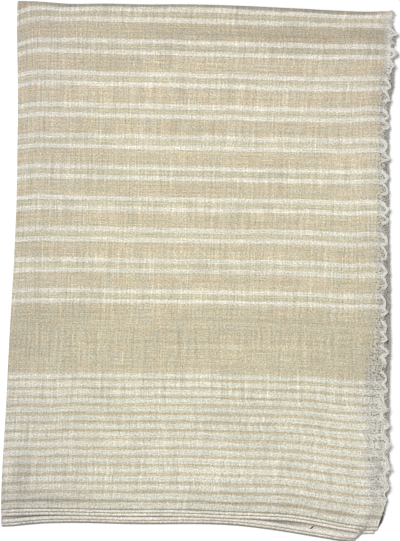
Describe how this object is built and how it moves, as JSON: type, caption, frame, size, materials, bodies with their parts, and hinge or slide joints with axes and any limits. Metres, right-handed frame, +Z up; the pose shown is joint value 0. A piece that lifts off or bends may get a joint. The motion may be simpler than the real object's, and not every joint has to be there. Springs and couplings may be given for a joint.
{
  "type": "folded pashmina shawl",
  "caption": "A woven wool shawl in beige with cream weft stripes, folded flat to eight plies, with looped selvedges along one side.",
  "frame": {"origin": "centre of the folded shawl's bounding box, on the surface it lies on", "axes": "+X towards the looped selvedges, +Y towards the far fold that the top ply turns down over, +Z up from the surface"},
  "size_m": [0.3764, 0.5276, 0.0138],
  "materials": {
    "shawl_cloth": "soft matt wool, plain weave, beige with cream weft stripes",
    "selvedge_yarn": "soft matt wool yarn, cream and beige"
  },
  "bodies": {
    "root": {"top_ply": "shawl_cloth", "second_ply": "shawl_cloth", "folded_layers": "shawl_cloth", "top_selvedge_loops": "selvedge_yarn", "second_selvedge_loops": "selvedge_yarn", "lower_selvedge_loops": "selvedge_yarn"}
  },
  "joints": []
}
